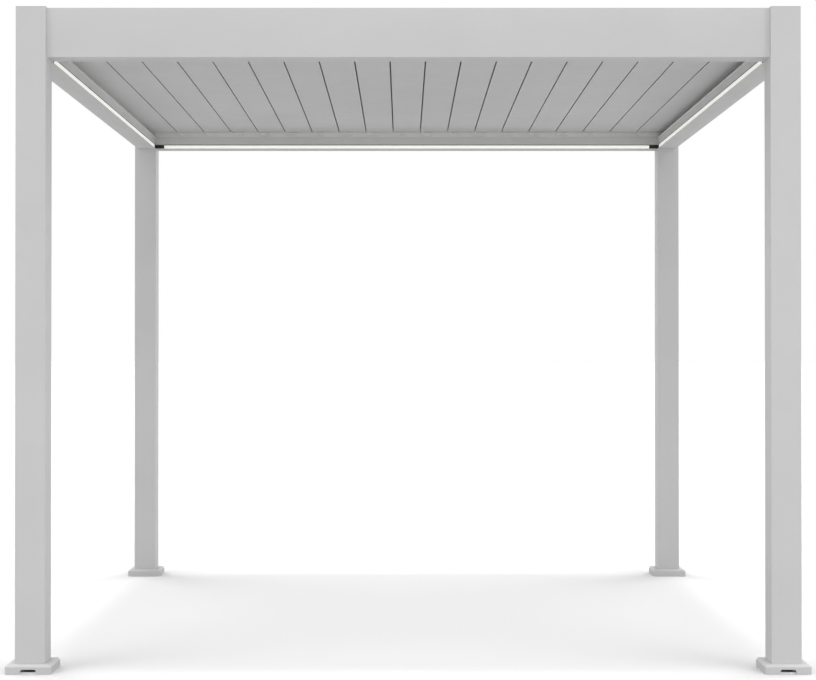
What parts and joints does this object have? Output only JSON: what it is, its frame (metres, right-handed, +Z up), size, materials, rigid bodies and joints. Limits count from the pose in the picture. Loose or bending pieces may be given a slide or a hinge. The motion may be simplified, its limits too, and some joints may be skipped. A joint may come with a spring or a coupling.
{
  "type": "louvered pergola",
  "caption": "Free-standing square metal pergola on corner posts, with a roof of louver blades that turn together and light strips round the inside of its beams.",
  "frame": {"origin": "on the floor, in the middle of the four posts", "axes": "+Z up, +Y from the front to the rear along the louver blades, +X to the right across the front"},
  "size_m": [3.06, 3.06, 2.546],
  "materials": {
    "frame_coat": "fine textured powder coat, light grey",
    "cover_coat": "fine textured powder coat, light grey",
    "gutter_coat": "fine textured powder coat, light grey",
    "rail_coat": "fine textured powder coat, light grey",
    "blade_coat": "fine textured powder coat, light grey",
    "linkage_metal": "plain anodised",
    "galvanised_plate": "galvanised",
    "opal_diffuser": "opal, lit from inside",
    "black_plastic": "moulded, satin"
  },
  "bodies": {
    "frame": {"post_right_rear": "frame_coat", "post_left_rear": "frame_coat", "post_right_front": "frame_coat", "post_left_front": "frame_coat", "base_covers": "cover_coat", "post_caps": "cover_coat", "foot_plates": "galvanised_plate", "beam_right": "frame_coat", "beam_left": "frame_coat", "beam_rear": "frame_coat", "beam_front": "frame_coat", "gutter_right": "gutter_coat", "gutter_left": "gutter_coat", "gutter_rear": "gutter_coat", "gutter_front": "gutter_coat", "light_right": "opal_diffuser", "light_left": "opal_diffuser", "light_rear": "opal_diffuser", "light_front": "opal_diffuser", "light_connectors": "black_plastic", "pivot_rail_rear": "rail_coat", "pivot_rail_front": "rail_coat", "rail_keeper_rear": "rail_coat", "rail_keeper_front": "rail_coat"},
    "louver_01": {"louver_01": "blade_coat"},
    "louver_02": {"louver_02": "blade_coat"},
    "louver_03": {"louver_03": "blade_coat"},
    "louver_04": {"louver_04": "blade_coat"},
    "louver_05": {"louver_05": "blade_coat"},
    "louver_06": {"louver_06": "blade_coat"},
    "louver_07": {"louver_07": "blade_coat"},
    "louver_08": {"louver_08": "blade_coat"},
    "louver_09": {"louver_09": "blade_coat"},
    "louver_10": {"louver_10": "blade_coat"},
    "louver_11": {"louver_11": "blade_coat"},
    "louver_12": {"louver_12": "blade_coat"},
    "louver_13": {"louver_13": "blade_coat"},
    "louver_14": {"louver_14": "blade_coat"},
    "louver_15": {"louver_15": "blade_coat"},
    "louver_16": {"louver_16": "blade_coat"},
    "louver_17": {"louver_17": "blade_coat"},
    "louver_18": {"louver_18": "blade_coat"},
    "louver_19": {"louver_19": "blade_coat"},
    "tie_bar": {"tie_bar": "linkage_metal"}
  },
  "joints": [
    {"name": "louver_01_pivot", "type": "hinge", "parent": "frame", "child": "louver_01", "pos_m": [-1.3726, 0, 2.464], "axis": [0, -1, 0], "range_deg": [0, 90]},
    {"name": "louver_02_pivot", "type": "hinge", "parent": "frame", "child": "louver_02", "pos_m": [-1.2238, 0, 2.464], "axis": [0, -1, 0], "range_deg": [0, 90]},
    {"name": "louver_03_pivot", "type": "hinge", "parent": "frame", "child": "louver_03", "pos_m": [-1.075, 0, 2.464], "axis": [0, -1, 0], "range_deg": [0, 90]},
    {"name": "louver_04_pivot", "type": "hinge", "parent": "frame", "child": "louver_04", "pos_m": [-0.9262, 0, 2.464], "axis": [0, -1, 0], "range_deg": [0, 90]},
    {"name": "louver_05_pivot", "type": "hinge", "parent": "frame", "child": "louver_05", "pos_m": [-0.7774, 0, 2.464], "axis": [0, -1, 0], "range_deg": [0, 90]},
    {"name": "louver_06_pivot", "type": "hinge", "parent": "frame", "child": "louver_06", "pos_m": [-0.6286, 0, 2.464], "axis": [0, -1, 0], "range_deg": [0, 90]},
    {"name": "louver_07_pivot", "type": "hinge", "parent": "frame", "child": "louver_07", "pos_m": [-0.4798, 0, 2.464], "axis": [0, -1, 0], "range_deg": [0, 90]},
    {"name": "louver_08_pivot", "type": "hinge", "parent": "frame", "child": "louver_08", "pos_m": [-0.331, 0, 2.464], "axis": [0, -1, 0], "range_deg": [0, 90]},
    {"name": "louver_09_pivot", "type": "hinge", "parent": "frame", "child": "louver_09", "pos_m": [-0.1822, 0, 2.464], "axis": [0, -1, 0], "range_deg": [0, 90]},
    {"name": "louver_10_pivot", "type": "hinge", "parent": "frame", "child": "louver_10", "pos_m": [-0.0334, 0, 2.464], "axis": [0, -1, 0], "range_deg": [0, 90]},
    {"name": "louver_11_pivot", "type": "hinge", "parent": "frame", "child": "louver_11", "pos_m": [0.1154, 0, 2.464], "axis": [0, -1, 0], "range_deg": [0, 90]},
    {"name": "louver_12_pivot", "type": "hinge", "parent": "frame", "child": "louver_12", "pos_m": [0.2642, 0, 2.464], "axis": [0, -1, 0], "range_deg": [0, 90]},
    {"name": "louver_13_pivot", "type": "hinge", "parent": "frame", "child": "louver_13", "pos_m": [0.413, 0, 2.464], "axis": [0, -1, 0], "range_deg": [0, 90]},
    {"name": "louver_14_pivot", "type": "hinge", "parent": "frame", "child": "louver_14", "pos_m": [0.5618, 0, 2.464], "axis": [0, -1, 0], "range_deg": [0, 90]},
    {"name": "louver_15_pivot", "type": "hinge", "parent": "frame", "child": "louver_15", "pos_m": [0.7106, 0, 2.464], "axis": [0, -1, 0], "range_deg": [0, 90]},
    {"name": "louver_16_pivot", "type": "hinge", "parent": "frame", "child": "louver_16", "pos_m": [0.8594, 0, 2.464], "axis": [0, -1, 0], "range_deg": [0, 90]},
    {"name": "louver_17_pivot", "type": "hinge", "parent": "frame", "child": "louver_17", "pos_m": [1.0082, 0, 2.464], "axis": [0, -1, 0], "range_deg": [0, 90]},
    {"name": "louver_18_pivot", "type": "hinge", "parent": "frame", "child": "louver_18", "pos_m": [1.157, 0, 2.464], "axis": [0, -1, 0], "range_deg": [0, 90]},
    {"name": "louver_19_pivot", "type": "hinge", "parent": "frame", "child": "louver_19", "pos_m": [1.3058, 0, 2.464], "axis": [0, -1, 0], "range_deg": [0, 90]},
    {"name": "tie_bar_pin", "type": "hinge", "parent": "louver_10", "child": "tie_bar", "pos_m": [0.01116, -1.4085, 2.45774], "axis": [0, -1, 0], "range_deg": [-90, 0]}
  ],
  "couplings": [
    {"joint": "louver_01_pivot", "follows": "louver_10_pivot", "ratio": 1},
    {"joint": "louver_02_pivot", "follows": "louver_10_pivot", "ratio": 1},
    {"joint": "louver_03_pivot", "follows": "louver_10_pivot", "ratio": 1},
    {"joint": "louver_04_pivot", "follows": "louver_10_pivot", "ratio": 1},
    {"joint": "louver_05_pivot", "follows": "louver_10_pivot", "ratio": 1},
    {"joint": "louver_06_pivot", "follows": "louver_10_pivot", "ratio": 1},
    {"joint": "louver_07_pivot", "follows": "louver_10_pivot", "ratio": 1},
    {"joint": "louver_08_pivot", "follows": "louver_10_pivot", "ratio": 1},
    {"joint": "louver_09_pivot", "follows": "louver_10_pivot", "ratio": 1},
    {"joint": "louver_11_pivot", "follows": "louver_10_pivot", "ratio": 1},
    {"joint": "louver_12_pivot", "follows": "louver_10_pivot", "ratio": 1},
    {"joint": "louver_13_pivot", "follows": "louver_10_pivot", "ratio": 1},
    {"joint": "louver_14_pivot", "follows": "louver_10_pivot", "ratio": 1},
    {"joint": "louver_15_pivot", "follows": "louver_10_pivot", "ratio": 1},
    {"joint": "louver_16_pivot", "follows": "louver_10_pivot", "ratio": 1},
    {"joint": "louver_17_pivot", "follows": "louver_10_pivot", "ratio": 1},
    {"joint": "louver_18_pivot", "follows": "louver_10_pivot", "ratio": 1},
    {"joint": "louver_19_pivot", "follows": "louver_10_pivot", "ratio": 1},
    {"joint": "tie_bar_pin", "follows": "louver_10_pivot", "ratio": -1}
  ]
}
